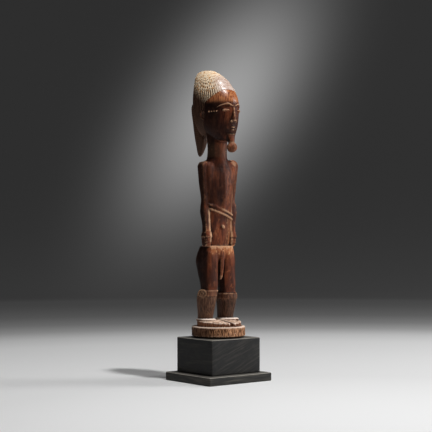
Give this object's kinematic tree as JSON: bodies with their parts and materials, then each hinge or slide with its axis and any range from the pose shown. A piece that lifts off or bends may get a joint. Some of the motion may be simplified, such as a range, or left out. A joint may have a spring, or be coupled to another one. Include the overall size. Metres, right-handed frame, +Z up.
{
  "type": "carved wooden statuette",
  "caption": "Standing male figure carved in one with its round base, dark polished wood, on a stepped black plinth",
  "frame": {"origin": "the middle of the underside of the plinth's slab, where the part rests", "axes": "+Z is up the figure, the figure faces -Y, and its right hand is at -X"},
  "size_m": [0.094, 0.0895, 0.3735],
  "materials": {
    "carved_wood": "hand carved hardwood with a dark red-brown oiled patina, rubbed lighter on the high places",
    "ebonised_wood": "sawn and sanded hardwood stained black, satin, greyer on the worn edges"
  },
  "bodies": {
    "root": {"figure": "carved_wood", "plinth_block": "ebonised_wood", "plinth_slab": "ebonised_wood"}
  },
  "joints": []
}
